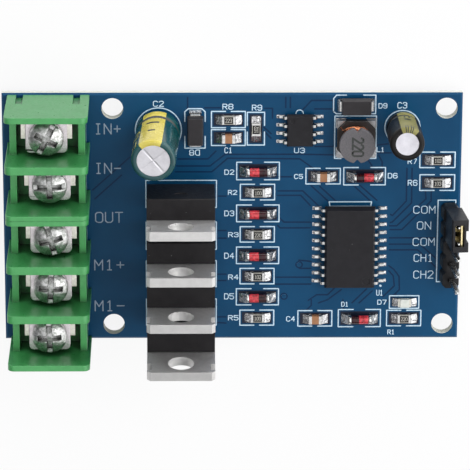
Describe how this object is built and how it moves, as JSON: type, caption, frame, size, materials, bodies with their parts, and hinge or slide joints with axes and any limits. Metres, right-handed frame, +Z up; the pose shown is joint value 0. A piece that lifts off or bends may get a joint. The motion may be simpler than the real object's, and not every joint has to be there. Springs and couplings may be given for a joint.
{
  "type": "dc motor driver module",
  "caption": "Blue circuit board with a barrier terminal strip, standing power transistors, driver chips and a pin header with a jumper cap.",
  "frame": {"origin": "centre of the four mounting holes, on the underside of the board", "axes": "+X along the board from the terminal strip to the control header, +Y across the board to the capacitors, +Z up out of the component side"},
  "size_m": [0.0687, 0.0389, 0.0206],
  "materials": {
    "board": "glossy blue solder mask",
    "terminal_plastic": "satin moulded",
    "nickel": "bright nickel plate",
    "contact_metal": "tinned brass",
    "moulded_black": "matt moulding compound",
    "tinned": "bright tin plate",
    "can_aluminium": "brushed",
    "sleeve_green": "shrunk film",
    "sleeve_dark": "shrunk film",
    "bung_rubber": "matt",
    "ferrite": "matt ground",
    "winding": "enamelled copper",
    "diode_glass": "clear",
    "resistor_film": "glazed",
    "ceramic": "matt",
    "led_resin": "clear resin",
    "header_plastic": "moulded",
    "gilt": "gold flash",
    "solder": "bright solder"
  },
  "bodies": {
    "root": {"board": "board", "terminal_housing_2p": "terminal_plastic", "terminal_housing_3p": "terminal_plastic", "terminal_screws": "nickel", "clamp_plate_1": "nickel", "clamp_plate_2": "nickel", "clamp_plate_3": "nickel", "clamp_plate_4": "nickel", "clamp_plate_5": "nickel", "contact_1": "contact_metal", "contact_2": "contact_metal", "contact_3": "contact_metal", "contact_4": "contact_metal", "contact_5": "contact_metal", "fet1_body": "moulded_black", "fet1_tab": "tinned", "fet1_leads": "tinned", "fet2_body": "moulded_black", "fet2_tab": "tinned", "fet2_leads": "tinned", "fet3_body": "moulded_black", "fet3_tab": "tinned", "fet3_leads": "tinned", "fet4_body": "moulded_black", "fet4_tab": "tinned", "fet4_leads": "tinned", "cap_a_can": "can_aluminium", "cap_a_sleeve": "sleeve_green", "cap_a_bung": "bung_rubber", "cap_a_leads": "tinned", "cap_b_can": "can_aluminium", "cap_b_sleeve": "sleeve_dark", "cap_b_bung": "bung_rubber", "cap_b_leads": "tinned", "inductor_core": "ferrite", "inductor_winding": "winding", "inductor_terminals": "tinned", "driver_chip_body": "moulded_black", "driver_chip_leads": "tinned", "regulator_chip_body": "moulded_black", "regulator_chip_leads": "tinned", "rectifier_1_body": "moulded_black", "rectifier_1_terminals": "tinned", "rectifier_2_body": "moulded_black", "rectifier_2_terminals": "tinned", "glass_diode_bodies": "diode_glass", "glass_diode_caps": "tinned", "resistor_bodies": "resistor_film", "resistor_caps": "tinned", "ceramic_bodies": "ceramic", "ceramic_caps": "tinned", "led_body": "led_resin", "led_terminals": "tinned", "header_base": "header_plastic", "header_pins": "tinned", "jumper_cap": "header_plastic", "jumper_contact": "gilt", "solder_pads": "solder", "solder_joints": "solder"}
  },
  "joints": []
}
